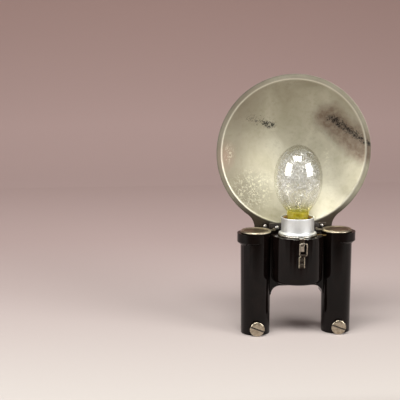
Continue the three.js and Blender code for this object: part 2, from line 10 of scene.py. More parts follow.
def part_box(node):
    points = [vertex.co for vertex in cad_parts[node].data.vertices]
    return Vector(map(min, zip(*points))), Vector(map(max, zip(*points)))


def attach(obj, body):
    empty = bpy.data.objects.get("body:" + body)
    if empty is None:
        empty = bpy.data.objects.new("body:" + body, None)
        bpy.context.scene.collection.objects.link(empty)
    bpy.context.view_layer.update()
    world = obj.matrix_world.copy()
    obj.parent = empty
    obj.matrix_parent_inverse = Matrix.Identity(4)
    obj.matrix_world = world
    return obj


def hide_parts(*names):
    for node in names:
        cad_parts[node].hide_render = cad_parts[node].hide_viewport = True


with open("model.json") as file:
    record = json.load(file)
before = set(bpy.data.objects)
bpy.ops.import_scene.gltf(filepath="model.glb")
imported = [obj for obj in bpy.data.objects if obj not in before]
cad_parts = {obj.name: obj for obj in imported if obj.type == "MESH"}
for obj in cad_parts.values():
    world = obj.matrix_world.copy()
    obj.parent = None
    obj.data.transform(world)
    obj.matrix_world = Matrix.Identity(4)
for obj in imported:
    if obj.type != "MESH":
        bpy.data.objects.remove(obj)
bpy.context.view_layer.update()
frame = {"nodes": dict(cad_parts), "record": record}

MM = 0.001


# ---- places and sizes, from the frame ----

def middle(node):
    low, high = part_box(node)
    return (low + high) / 2


def span(node):
    low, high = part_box(node)
    return high - low


BODY_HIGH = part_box("body_shell")[1]
FLANGE_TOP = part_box("flange_ring")[1].z
COLLAR_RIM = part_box("socket_collar")[1].z
SHEET = 0.7 * MM

# the legs, with the thick mouths that the caps close
LEG_X = middle("battery_cell_right").x
LEG_Y = middle("battery_cell_right").y
LEG_TOP = BODY_HIGH.z
LEG_FOOT_R = 14.4 * MM
LEG_TOP_R = 15.2 * MM
BORE_R = span("battery_cell_right").x / 2 + 0.4 * MM
BORE_FLOOR = 14 * MM
LUG_R = 15.96 * MM
LUG_X = BODY_HIGH.x - LUG_R
LUG_LOW = 93.5 * MM
BACK_Y = LEG_Y + 14.9 * MM
CUT_REACH = 30 * MM

# the socket's barrel, and the web behind it with the arch between the legs
SOCKET_Y = middle("socket_shell").y
BARREL_R = 25.12 * MM
BARREL_TOP = FLANGE_TOP - 1.56 * MM
BARREL_LOW = 53.6 * MM
WELL_R = 18.2 * MM
WELL_FLOOR = 66 * MM
WEB_HALF = 34 * MM
WEB_FRONT = LEG_Y - 5 * MM
ARCH_HALF = 26 * MM
ARCH_FILLET = 9 * MM
ARCH_SPRING = 39.5 * MM

# the terminal screws and the bosses round them
TERM_X = middle("terminal_screw_right").x
TERM_Z = middle("terminal_screw_right").z
BOSS_R = 7.1 * MM
BOSS_HALF = 15.3 * MM

# the dish, and the tongue that carries it
DISH_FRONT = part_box("reflector")[0].y
DISH_R = span("reflector").x / 2
DISH_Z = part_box("reflector")[1].z - DISH_R
DISH_MOUTH = DISH_R - 4.8 * MM
DISH_DEPTH = span("reflector").y - SHEET
TONGUE_X = 39.3 * MM
TONGUE_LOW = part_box("reflector")[0].z
TONGUE_FILLET = 18 * MM

# the collar, the flange and the screw thread of the socket
RING_R = span("flange_ring").x / 2
COLLAR_R = 16.24 * MM
THREAD_PITCH = 3.63 * MM

# the bulb
BULB_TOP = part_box("bulb_glass")[1].z
BULB_R = span("bulb_glass").x / 2
BULB_HALF = 33 * MM
NECK_R = 11 * MM
GLASS_WALL = 0.5 * MM


# ---- mesh helpers ----

def new_object(name, bm):
    mesh = bpy.data.meshes.new(name)
    bmesh.ops.recalc_face_normals(bm, faces=bm.faces)
    bm.to_mesh(mesh)
    bm.free()
    obj = bpy.data.objects.new(name, mesh)
    bpy.context.scene.collection.objects.link(obj)
    return obj


def smooth(obj, angle=35):
    obj.data.polygons.foreach_set("use_smooth", [True] * len(obj.data.polygons))
    obj.data.set_sharp_from_angle(angle=math.radians(angle))
    return obj


def applied(obj):
    """Turns the object's modifiers into its mesh."""
    bpy.context.view_layer.update()
    graph = bpy.context.evaluated_depsgraph_get()
    mesh = bpy.data.meshes.new_from_object(obj.evaluated_get(graph))
    obj.modifiers.clear()
    obj.data = mesh
    return obj


def bevel(obj, width, segments=2, angle=40):
    mod = obj.modifiers.new("bevel", "BEVEL")
    mod.width = width
    mod.segments = segments
    mod.limit_method = "ANGLE"
    mod.angle_limit = math.radians(angle)
    mod.miter_outer = "MITER_ARC"
    return smooth(applied(obj))


def combine(obj, others, operation):
    """Adds the others to the object or cuts them away, and deletes them."""
    for other in others:
        mod = obj.modifiers.new("combine", "BOOLEAN")
        mod.operation = operation
        mod.solver = "EXACT"
        mod.object = other
        applied(obj)
        bpy.data.objects.remove(other)


def lathe(name, profile, centre=(0, 0), segments=64, closed=False):
    """Turns (radius, height) points round a vertical axis. closed joins the last point to the first."""
    bm = bmesh.new()
    rings = []
    for radius, height in profile:
        if radius < 1e-6:
            rings.append([bm.verts.new((centre[0], centre[1], height))])
            continue
        ring = []
        for i in range(segments):
            a = 2 * math.pi * i / segments
            ring.append(bm.verts.new((centre[0] + radius * math.cos(a),
                                      centre[1] + radius * math.sin(a), height)))
        rings.append(ring)
    pairs = list(zip(rings, rings[1:]))
    if closed:
        pairs.append((rings[-1], rings[0]))
    for low, high in pairs:
        for i in range(segments):
            j = (i + 1) % segments
            corners = [low[i % len(low)], low[j % len(low)], high[j % len(high)], high[i % len(high)]]
            unique = list(dict.fromkeys(corners))
            if len(unique) > 2:
                bm.faces.new(unique)
    return new_object(name, bm)


def cylinder(name, radius, low, high, centre=(0, 0), segments=64):
    return lathe(name, [(0, low), (radius, low), (radius, high), (0, high)], centre, segments)


def face_front(obj, centre):
    """Turns a piece made round the Z axis to face the front, and puts it at centre."""
    obj.data.transform(Matrix.Translation(centre) @ Matrix.Rotation(math.pi / 2, 4, "X"))
    return obj


def block(name, low, high):
    bm = bmesh.new()
    bmesh.ops.create_cube(bm, size=1)
    size = Vector(high) - Vector(low)
    for v in bm.verts:
        v.co = Vector(low) + Vector(((v.co[k] + 0.5) * size[k] for k in range(3)))
    return new_object(name, bm)


def prism(name, outline, axis, start, end):
    """A plate with the outline [(u, v)] across axis: "X" takes (y, z) points and "Y" takes (x, z)."""
    bm = bmesh.new()
    ends = []
    for w in (start, end):
        if axis == "X":
            ends.append([bm.verts.new((w, u, v)) for u, v in outline])
        else:
            ends.append([bm.verts.new((u, w, v)) for u, v in outline])
    bm.faces.new(ends[0])
    bm.faces.new(list(reversed(ends[1])))
    count = len(outline)
    for i in range(count):
        j = (i + 1) % count
        bm.faces.new((ends[0][i], ends[1][i], ends[1][j], ends[0][j]))
    return new_object(name, bm)


def arc(cx, cy, radius, start, end, steps):
    """Points on an arc, angles in degrees."""
    points = []
    for i in range(steps + 1):
        a = math.radians(start + (end - start) * i / steps)
        points.append((cx + radius * math.cos(a), cy + radius * math.sin(a)))
    return points


def tube(bm, points, radius, sides):
    """Round wire through the points, with flat ends."""
    rings = []
    side = None
    for i, p in enumerate(points):
        along = (points[min(i + 1, len(points) - 1)] - points[max(i - 1, 0)]).normalized()
        if side is None:
            side = along.orthogonal().normalized()
        side = (side - along * side.dot(along)).normalized()
        up = along.cross(side)
        ring = []
        for k in range(sides):
            a = 2 * math.pi * k / sides
            ring.append(bm.verts.new(p + radius * (side * math.cos(a) + up * math.sin(a))))
        rings.append(ring)
    bm.faces.new(list(reversed(rings[0])))
    bm.faces.new(rings[-1])
    for a, b in zip(rings, rings[1:]):
        for k in range(sides):
            m = (k + 1) % sides
            bm.faces.new((a[k], a[m], b[m], b[k]))


def fine_copy(node, width=0.15 * MM):
    """A CAD node's shape with its edges rounded and its round faces shaded smooth."""
    source = frame["nodes"][node]
    bm = bmesh.new()
    bm.from_mesh(source.data)
    bmesh.ops.remove_doubles(bm, verts=bm.verts, dist=0.001 * MM)
    bmesh.ops.dissolve_limit(bm, angle_limit=math.radians(1), verts=bm.verts, edges=bm.edges)
    obj = new_object("fine_" + node, bm)
    return bevel(obj, width, 2)


# ---- material helpers ----

# the mix node has a socket of each kind under one name, so its colour sockets are found by place
MIX_COLOR_A = 6
MIX_COLOR_B = 7
MIX_COLOR_RESULT = 2


class Nodes:
    """One material, with short ways to add nodes to it and link them."""

    def __init__(self, name):
        self.material = bpy.data.materials.new(name)
        self.material.use_nodes = True
        self.tree = self.material.node_tree
        self.shader = self.tree.nodes["Principled BSDF"]
        self.place = self.add("ShaderNodeTexCoord").outputs["Object"]

    def add(self, kind):
        return self.tree.nodes.new(kind)

    def link(self, source, target):
        self.tree.links.new(source, target)

    def set(self, **values):
        for key, value in values.items():
            self.shader.inputs[key.replace("_", " ")].default_value = value

    def noise(self, scale, detail=4, rough=0.6, stretch=None, distortion=0.0):
        node = self.add("ShaderNodeTexNoise")
        node.inputs["Scale"].default_value = scale
        node.inputs["Detail"].default_value = detail
        node.inputs["Roughness"].default_value = rough
        node.inputs["Distortion"].default_value = distortion
        vector = self.place
        if stretch:
            mapping = self.add("ShaderNodeMapping")
            mapping.inputs["Scale"].default_value = stretch
            self.link(self.place, mapping.inputs["Vector"])
            vector = mapping.outputs["Vector"]
        self.link(vector, node.inputs["Vector"])
        return node.outputs["Fac"]

    def ramp(self, source, stops):
        node = self.add("ShaderNodeValToRGB")
        elements = node.color_ramp.elements
        while len(elements) < len(stops):
            elements.new(0.5)
        for element, (at, color) in zip(elements, stops):
            element.position = at
            element.color = (*color, 1)
        self.link(source, node.inputs["Fac"])
        return node.outputs["Color"]

    def level(self, source, low, high, out_low=0.0, out_high=1.0):
        """Stretches the range from low to high onto the range from out_low to out_high."""
        node = self.add("ShaderNodeMapRange")
        ends = {"From Min": low, "From Max": high, "To Min": out_low, "To Max": out_high}
        for key, value in ends.items():
            node.inputs[key].default_value = value
        self.link(source, node.inputs["Value"])
        return node.outputs["Result"]

    def plug(self, value, socket):
        """Feeds a socket with another node's output, a number or a colour."""
        if isinstance(value, bpy.types.NodeSocket):
            self.link(value, socket)
        elif isinstance(value, (int, float)):
            socket.default_value = value
        else:
            socket.default_value = (*value, 1)

    def mix(self, factor, a, b):
        """Colour a where factor is 0 and colour b where it is 1."""
        node = self.add("ShaderNodeMix")
        node.data_type = "RGBA"
        self.plug(factor, node.inputs["Factor"])
        self.plug(a, node.inputs[MIX_COLOR_A])
        self.plug(b, node.inputs[MIX_COLOR_B])
        return node.outputs[MIX_COLOR_RESULT]

    def calculate(self, operation, a, b, clamp=False):
        node = self.add("ShaderNodeMath")
        node.operation = operation
        node.use_clamp = clamp
        self.plug(a, node.inputs[0])
        self.plug(b, node.inputs[1])
        return node.outputs["Value"]

    def times(self, a, b):
        return self.calculate("MULTIPLY", a, b)

    def plus(self, a, b):
        return self.calculate("ADD", a, b, clamp=True)

    def attribute(self, name):
        node = self.add("ShaderNodeAttribute")
        node.attribute_name = name
        return node.outputs["Fac"]

    def bump(self, height, strength, distance=0.1 * MM, before=None):
        node = self.add("ShaderNodeBump")
        node.inputs["Strength"].default_value = strength
        node.inputs["Distance"].default_value = distance
        self.link(height, node.inputs["Height"])
        if before:
            self.link(before, node.inputs["Normal"])
        return node.outputs["Normal"]

    def color(self, source):
        self.link(source, self.shader.inputs["Base Color"])

    def rough(self, source):
        self.link(source, self.shader.inputs["Roughness"])

    def normal(self, source):
        self.link(source, self.shader.inputs["Normal"])


def bakelite():
    """Near-black glossy moulding, with faint mottling, dust and a slow wave in its gloss."""
    m = Nodes("bakelite")
    m.set(IOR=1.42, Specular_IOR_Level=0.24)
    mottle = m.noise(260, 5)
    swirl = m.noise(60, 3, distortion=1.5)
    base = m.mix(m.level(swirl, 0.35, 0.7), (0.0022, 0.0014, 0.0012), (0.005, 0.0029, 0.0024))
    dust = m.level(m.noise(900, 6, 0.75), 0.64, 0.82, 0, 0.25)
    m.color(m.mix(dust, base, (0.022, 0.016, 0.014)))
    haze = m.level(mottle, 0.3, 0.75, 0.05, 0.1)
    scratch = m.level(m.noise(240, 3, 0.7, stretch=(9, 9, 0.35)), 0.6, 0.75, 0, 0.04)
    m.rough(m.plus(haze, scratch))
    wave = m.bump(m.noise(45, 2), 0.2, 0.4 * MM)
    m.normal(m.bump(m.noise(1400, 3), 0.08, 0.03 * MM, wave))
    return m.material


def metal(name, base, dark, rough, scale=220, stretch=None, grain=0.25, metallic=1.0):
    """Plain metal with tarnish in patches and a fine surface grain."""
    m = Nodes(name)
    m.set(Metallic=metallic)
    patches = m.level(m.noise(scale, 5, 0.65), 0.38, 0.72)
    m.color(m.mix(patches, base, dark))
    streaks = m.noise(scale * 4, 4, 0.7, stretch=stretch)
    m.rough(m.level(streaks, 0.3, 0.75, rough * 0.75, rough * 1.35))
    m.normal(m.bump(streaks, grain, 0.05 * MM))
    return m.material


def dish_metal():
    """Oxidised aluminium: cloudy cream and olive, a brown scorch and soot in it, with painted shade,
    painted highlights round the bowl and painted glints on crinkled flakes.
    """
    m = Nodes("aged_aluminium")
    m.set(Metallic=0.75)
    cloud = m.noise(22, 5, 0.62, distortion=0.6)
    fine = m.noise(190, 6, 0.7)
    tone = m.ramp(cloud, [(0.3, (0.4, 0.375, 0.27)), (0.5, (0.51, 0.485, 0.375)),
                          (0.72, (0.63, 0.61, 0.49))])
    tone = m.mix(m.level(fine, 0.5, 0.78, 0, 0.45), tone, (0.3, 0.27, 0.18))
    # painted shade on the dish's top, left and right
    tone = m.mix(m.attribute("shade"), tone, (0.3, 0.265, 0.2))
    tone = m.mix(m.times(m.attribute("pink"), 0.6), tone, (0.5, 0.32, 0.26))
    # the flakes' crinkles are bumped, and their glint is painted into the colour
    flakes = m.level(m.noise(300, 5, 0.75, distortion=1.2), 0.52, 0.58)
    tone = m.mix(m.times(m.attribute("glint"), flakes), tone, (0.95, 0.93, 0.74))
    halo = m.times(m.attribute("halo"), m.level(fine, 0.25, 0.6, 0.5, 1))
    tone = m.mix(halo, tone, (0.16, 0.105, 0.075))
    # the stronger the soot, the more of its grains show
    grains = m.plus(m.noise(520, 6, 0.85, distortion=0.7), m.times(m.attribute("soot"), 0.19))
    soot = m.times(m.level(m.attribute("soot"), 0.0, 0.12), m.level(grains, 0.62, 0.72))
    tone = m.mix(soot, tone, (0.01, 0.009, 0.009))
    # painted highlight on the lip round the bowl
    tone = m.mix(m.attribute("lip_highlight"), tone, (0.85, 0.82, 0.68))
    # painted shade: a dark line along the sheet's outer edge
    tone = m.mix(m.attribute("edge"), tone, (0.2, 0.185, 0.15))
    # painted shade: the tongue darkened almost to black
    tone = m.mix(m.attribute("tongue"), tone, (0.055, 0.041, 0.03))
    m.color(tone)
    base_rough = m.level(fine, 0.3, 0.7, 0.34, 0.48)
    m.rough(m.plus(base_rough, m.times(soot, 0.4)))
    wave = m.bump(m.noise(60, 3), 0.3, 0.35 * MM)
    crinkle = m.bump(m.times(m.attribute("glint"), m.noise(240, 4, 0.7)), 0.9, 0.4 * MM, wave)
    m.normal(m.bump(m.noise(1500, 4, 0.7), 0.2, 0.04 * MM, crinkle))
    return m.material


def spun_metal():
    """Bright satin aluminium with fine turning lines round the vertical axis."""
    m = Nodes("spun_aluminium")
    m.set(Metallic=0.85)
    lines = m.noise(1500, 3, 0.6, stretch=(0.02, 0.02, 1))
    stain = m.level(m.noise(160, 5, 0.7), 0.5, 0.78, 0, 0.5)
    m.color(m.mix(stain, (0.84, 0.87, 0.87), (0.58, 0.59, 0.58)))
    m.rough(m.level(lines, 0.3, 0.7, 0.36, 0.5))
    m.normal(m.bump(lines, 0.35, 0.06 * MM))
    return m.material


def cap_metal():
    """Nickel-plated caps whose dished middle has worn to brown."""
    m = Nodes("cap_nickel")
    m.set(Metallic=0.95)
    patches = m.level(m.noise(170, 5, 0.65), 0.38, 0.72)
    tone = m.mix(patches, (0.62, 0.56, 0.43), (0.34, 0.28, 0.19))
    worn = m.times(m.attribute("worn"), m.level(m.noise(300, 5, 0.7), 0.25, 0.55, 0.55, 0.95))
    m.color(m.mix(worn, tone, (0.25, 0.18, 0.11)))
    streaks = m.noise(700, 4, 0.7)
    m.rough(m.level(streaks, 0.3, 0.75, 0.24, 0.44))
    m.normal(m.bump(streaks, 0.25, 0.05 * MM))
    return m.material


def clear_glass():
    """A thin clear wall: what is behind it, a painted yellow-brown reflection along its edges, a yellow
    stain near the neck and gloss on top.
    """
    m = Nodes("bulb_glass")
    facing = m.add("ShaderNodeLayerWeight")
    facing.inputs["Blend"].default_value = 0.5
    # painted reflection: the colour seen through the glass turns yellow-brown edge-on, standing in for
    # reflection and bending of light at its edges
    rim = m.level(facing.outputs["Facing"], 0.88, 1.0)
    tint = m.mix(m.times(rim, 0.9), (0.99, 0.99, 0.98), (0.62, 0.56, 0.38))
    stain = m.times(m.attribute("stain"), m.level(m.noise(260, 4, 0.7), 0.3, 0.6, 0.45, 1))
    tint = m.mix(stain, tint, (0.93, 0.89, 0.48))
    clear = m.add("ShaderNodeBsdfTransparent")
    m.link(tint, clear.inputs["Color"])
    gloss = m.add("ShaderNodeBsdfGlossy")
    m.link(m.level(m.noise(90, 3), 0.4, 0.8, 0.04, 0.08), gloss.inputs["Roughness"])
    m.link(m.bump(m.noise(35, 2), 0.05, 0.3 * MM), gloss.inputs["Normal"])
    fresnel = m.add("ShaderNodeFresnel")
    fresnel.inputs["IOR"].default_value = 1.5
    blend = m.add("ShaderNodeMixShader")
    m.link(m.level(fresnel.outputs["Fac"], 0.0, 0.5, 0.06, 0.26), blend.inputs[0])
    m.link(clear.outputs["BSDF"], blend.inputs[1])
    m.link(gloss.outputs["BSDF"], blend.inputs[2])
    output = m.tree.nodes["Material Output"]
    m.link(blend.outputs["Shader"], output.inputs["Surface"])
    m.tree.nodes.remove(m.shader)
    return m.material


def foil_metal():
    """Thin bright foil, creased all over."""
    m = Nodes("foil")
    m.set(Metallic=0.5)
    crease = m.noise(900, 4, 0.7)
    m.color(m.ramp(crease, [(0.3, (0.8, 0.8, 0.79)), (0.7, (0.98, 0.98, 0.96))]))
    m.rough(m.level(crease, 0.3, 0.7, 0.25, 0.45))
    m.normal(m.bump(crease, 0.6, 0.1 * MM))
    return m.material


def cement():
    """The yellow basing cement, blotchy and a little translucent."""
    m = Nodes("yellow_cement")
    m.set(Subsurface_Weight=0.15, IOR=1.5)
    m.shader.inputs["Subsurface Radius"].default_value = (2 * MM, 1.5 * MM, 0.4 * MM)
    blotch = m.noise(420, 5, 0.7, distortion=0.8)
    m.color(m.ramp(blotch, [(0.3, (0.3, 0.26, 0.04)), (0.5, (0.5, 0.47, 0.09)),
                            (0.72, (0.74, 0.72, 0.28))]))
    m.rough(m.level(blotch, 0.3, 0.7, 0.2, 0.45))
    m.normal(m.bump(blotch, 0.5, 0.2 * MM))
    return m.material


def fibre():
    """Black pressed fibre with brown specks."""
    m = Nodes("black_fibre")
    specks = m.noise(1100, 5, 0.75)
    m.color(m.ramp(specks, [(0.35, (0.012, 0.008, 0.006)), (0.75, (0.04, 0.03, 0.022))]))
    m.rough(m.level(m.noise(200, 4), 0.3, 0.7, 0.42, 0.62))
    m.normal(m.bump(specks, 0.4, 0.08 * MM))
    return m.material


def card():
    """Plain card of the battery jackets, blue and red in bands, with frayed places."""
    m = Nodes("battery_card")
    bands = m.noise(60, 2, stretch=(0.05, 0.05, 1))
    band = m.ramp(bands, [(0.45, (0.05, 0.07, 0.12)), (0.55, (0.42, 0.1, 0.05))])
    fray = m.level(m.noise(700, 5, 0.7), 0.55, 0.8, 0, 0.4)
    m.color(m.mix(fray, band, (0.42, 0.37, 0.28)))
    m.rough(m.level(fray, 0, 0.4, 0.45, 0.75))
    m.normal(m.bump(m.noise(1200, 3), 0.3, 0.05 * MM))
    return m.material


BAKELITE = bakelite()
DISH_METAL = dish_metal()
SPUN = spun_metal()
GLASS = clear_glass()
FOIL = foil_metal()
CEMENT = cement()
FIBRE = fibre()
CARD = card()
NICKEL = metal("worn_nickel", (0.6, 0.54, 0.43), (0.36, 0.3, 0.2), 0.28)
SCREW_METAL = metal("coin_screw_nickel", (0.52, 0.46, 0.36), (0.26, 0.21, 0.14), 0.22, 500)
# a darker finish for the faces in the screw slots
DARK_SLOT = metal("dark_slot", (0.11, 0.09, 0.07), (0.05, 0.04, 0.03), 0.6, 900, metallic=0.2)
DARK_STEEL = metal("dark_steel", (0.1, 0.085, 0.07), (0.05, 0.04, 0.03), 0.32, 300)
KEEPER_STEEL = metal("keeper_steel", (0.045, 0.035, 0.028), (0.02, 0.016, 0.012), 0.4, 300)
RING_METAL = metal("ring_nickel", (0.82, 0.8, 0.74), (0.55, 0.5, 0.4), 0.26)
CATCH_METAL = metal("polished_catch", (0.42, 0.38, 0.32), (0.13, 0.1, 0.075), 0.1, 400, grain=0.1)
CAP_METAL = cap_metal()
STEEL = metal("plated_steel", (0.6, 0.59, 0.56), (0.33, 0.3, 0.26), 0.28, 400)
BRASS = metal("tarnished_brass", (0.62, 0.45, 0.19), (0.27, 0.17, 0.07), 0.36, 300)
BASE_BRASS = metal("base_brass", (0.68, 0.53, 0.27), (0.4, 0.28, 0.13), 0.3, 200, (0.05, 0.05, 1))


def paint(obj, name, values):
    """Stores one value at each vertex for a material to read."""
    layer = obj.data.attributes.new(name, "FLOAT", "POINT")
    layer.data.foreach_set("value", values)


def finish_piece(obj, material, body, slot, *nodes):
    """Gives a piece its material, the body it rides on and the CAD nodes it stands for. The slot is not
    used.
    """
    obj.data.materials.clear()
    obj.data.materials.append(material)
    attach(obj, body)
    if nodes:
        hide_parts(*nodes)


# ---- moulded body ----

def leg_profile():
    edge = 0.9 * MM
    foot = arc(LEG_FOOT_R - edge, edge, edge, -90, 0, 5)
    return [(0, 0), *foot, (LEG_TOP_R, LEG_TOP), (0, LEG_TOP)]


def lug_profile():
    slope = 3 * MM
    under = LUG_LOW - slope
    return [(0, under), (LUG_R - slope, under), (LUG_R, LUG_LOW), (LUG_R, LEG_TOP), (0, LEG_TOP)]


def barrel_profile():
    bend = 4 * MM
    edge = arc(BARREL_R - bend, BARREL_LOW + bend, bend, -90, 0, 8)
    return [(0, BARREL_LOW), *edge, (BARREL_R, BARREL_TOP), (0, BARREL_TOP)]


def web_outline():
    inner = ARCH_HALF - ARCH_FILLET
    return [(-WEB_HALF, BARREL_TOP), (-WEB_HALF, ARCH_SPRING),
            *arc(-inner, ARCH_SPRING, ARCH_FILLET, 180, 90, 10),
            *arc(inner, ARCH_SPRING, ARCH_FILLET, 90, 0, 10),
            (WEB_HALF, ARCH_SPRING), (WEB_HALF, BARREL_TOP)]


def terminal_cylinder(name, side, radius, half, segments):
    """A cylinder from front to back, on the line of one terminal screw."""
    obj = cylinder(name, radius, -half, half, segments=segments)
    return face_front(obj, (side * TERM_X, LEG_Y, TERM_Z))


def body_additions():
    """The web, and on each side a leg, its thick mouth and the boss of its terminal screw."""
    parts = [prism("web", web_outline(), "Y", WEB_FRONT, BACK_Y)]
    for side in (-1, 1):
        parts.append(lathe("leg", leg_profile(), (side * LEG_X, LEG_Y), 112))
        parts.append(lathe("lug", lug_profile(), (side * LUG_X, LEG_Y), 112))
        parts.append(terminal_cylinder("boss", side, BOSS_R, BOSS_HALF, 64))
    return parts


def body_hollows():
    """The socket's well, the groove of the lead strip, and each leg's bore and screw hole."""
    above = LEG_TOP + 5 * MM
    strip_room = span("lead_strip").y / 2 + 0.4 * MM
    groove_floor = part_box("lead_strip")[1].z - 0.9 * MM
    hole_r = span("terminal_bushing_right").z / 2 + 0.3 * MM
    hollows = [cylinder("well", WELL_R, WELL_FLOOR, above, (0, SOCKET_Y), 96),
               block("groove", (WELL_R - 2 * MM, SOCKET_Y - strip_room, groove_floor),
                     (LEG_X - 7 * MM, SOCKET_Y + strip_room, above))]
    for side in (-1, 1):
        hollows.append(cylinder("bore", BORE_R, BORE_FLOOR, above, (side * LEG_X, LEG_Y), 80))
        hollows.append(terminal_cylinder("cross", side, hole_r, CUT_REACH, 32))
    return hollows


def moulded_body():
    body = lathe("bakelite_body", barrel_profile(), (0, SOCKET_Y), 144)
    behind = block("trim", (-50 * MM, BACK_Y, 40 * MM), (50 * MM, BACK_Y + CUT_REACH, 110 * MM))
    combine(body, [behind], "DIFFERENCE")
    combine(body, body_additions(), "UNION")
    combine(body, body_hollows(), "DIFFERENCE")
    bevel(body, 0.55 * MM, 3, 30)
    finish_piece(body, BAKELITE, "root", "bakelite", "body_shell")


# ---- reflector ----

def tongue_reach(angle):
    """How far the sheet reaches from the dish's middle at an angle, with the tongue and its fillets."""
    dx, dz = math.cos(angle), math.sin(angle)
    if dz >= 0:
        return DISH_R
    x = abs(dx)
    fillet_x = TONGUE_X + TONGUE_FILLET
    fillet_z = -math.sqrt((DISH_R + TONGUE_FILLET) ** 2 - fillet_x ** 2)
    if math.atan2(dz, x) > math.atan2(fillet_z, fillet_x):
        return DISH_R
    to_bottom = (TONGUE_LOW - DISH_Z) / dz
    if to_bottom * x <= TONGUE_X:
        return to_bottom
    to_side = TONGUE_X / x
    if to_side * dz <= fillet_z:
        return to_side
    b = -(x * fillet_x + dz * fillet_z)
    c = fillet_x ** 2 + fillet_z ** 2 - TONGUE_FILLET ** 2
    return -b - math.sqrt(max(b * b - c, 0))


def dish_drop(radius):
    """Depth of the sheet behind the rim's face: a round bowl, a flat rim and a small roll at the edge."""
    ball = (DISH_MOUTH ** 2 + DISH_DEPTH ** 2) / (2 * DISH_DEPTH)
    bowl = math.sqrt(max(ball ** 2 - radius ** 2, 0)) - (ball - DISH_DEPTH)
    soft = 0.35 * MM
    fade = 1.5 * MM
    drop = (bowl + math.sqrt(bowl ** 2 + 4 * soft ** 2)) / 2
    return drop - soft * math.exp(-max(radius - DISH_MOUTH, 0) / fade) * 0.5


def rise(value, start, end):
    """0 up to start, 1 from end on, and a straight line between them."""
    return max(0.0, min(1.0, (value - start) / (end - start)))


def oval(place, middle_at, wide, tall):
    """1 in the middle of an oval, fading to 0 at its edge."""
    return max(0.0, 1 - math.hypot((place[0] - middle_at[0]) / wide, (place[1] - middle_at[1]) / tall))


def nearest(place, start, end):
    """The nearest point of a line from start to end: its share of the way along, and how far it is."""
    (u, v), (au, av), (bu, bv) = place, start, end
    along = ((u - au) * (bu - au) + (v - av) * (bv - av)) / ((bu - au) ** 2 + (bv - av) ** 2)
    along = max(0.0, min(1.0, along))
    return along, math.hypot(u - au - along * (bu - au), v - av - along * (bv - av))


def dish_marks(x, z):
    """Strength of each mark at a place on the dish. Lengths here are shares of the dish's radius."""
    u, v = x / DISH_R, z / DISH_R
    place = (u, v)
    out = math.hypot(u, v)
    wobble = noise.noise(Vector((u * 9, v * 9, 3.1))) * 0.05

    # a long scorch from the upper right to the rim, in a brown halo, and a small one at the upper left
    along, away = nearest(place, (0.5, 0.42), (0.97, 0.09))
    soot = max(0.0, 1 - away / (0.1 - 0.03 * along + wobble))
    _, away = nearest(place, (0.47, 0.42), (0.93, 0.02))
    halo = min(1.0, 1.7 * max(0.0, 1 - away / (0.24 + wobble)))
    _, away = nearest(place, (-0.36, 0.345), (-0.24, 0.315))
    soot = max(soot, 1 - away / (0.07 + wobble))
    _, away = nearest(place, (-0.58, 0.42), (-0.3, 0.36))
    soot = max(soot, 0.55 * (1 - away / (0.1 + wobble)))

    # crinkled flakes with painted glints in their colour, at the lower left, the left edge and the right of
    # the bulb
    glint = max(oval(place, (-0.52, -0.5), 0.36, 0.3),
                0.8 * oval(place, (-0.83, -0.02), 0.08, 0.16),
                0.6 * oval(place, (0.47, -0.12), 0.05, 0.22))
    pink = oval(place, (-0.88, -0.05), 0.16, 0.24)

    # painted shade at the top, the left and the right and on the tongue; a painted highlight on the lip
    # round the bowl and a painted dark line along the outer edge
    shade = 0.55 * rise(v, 0.25, 0.95) + 0.65 * rise(-u, 0.3, 0.7)
    shade += 0.35 * rise(u, 0.45, 0.8) * rise(v, -0.35, -0.05)
    return {
        "soot": min(1.0, 1.3 * soot),
        "halo": 0.85 * halo,
        "glint": glint,
        "pink": pink,
        "shade": shade,
        "tongue": 0.92 * rise(-v, 0.5, 0.8) * rise(out, 0.94, 0.952),
        "lip_highlight": 0.8 * max(0.0, 1 - abs(out - 0.936) / 0.014),
        "edge": 0.6 * rise(out, 0.982, 0.998),
    }


def sheet_angles(around):
    """Even angles round the dish, with one moved exactly to each lower corner of the tongue."""
    angles = [-math.pi + 2 * math.pi * i / around for i in range(around)]
    for side in (-1, 1):
        corner = math.atan2(TONGUE_LOW - DISH_Z, side * TONGUE_X)
        closest = min(range(around), key=lambda i: abs(angles[i] - corner))
        angles[closest] = corner
    return angles


def sheet_vertex(bm, angle, radius):
    """A point on the sheet's front. The bowl has shallow dents, which end before its mouth."""
    x, z = radius * math.cos(angle), radius * math.sin(angle)
    inside = min(1.0, max(0.0, (DISH_MOUTH - radius) / (12 * MM)))
    dent = noise.noise(Vector((x, z, 0.02)) * 28) * 0.35 * MM * inside
    return bm.verts.new((x, DISH_FRONT + max(dish_drop(radius) - dent, 0), DISH_Z + z))


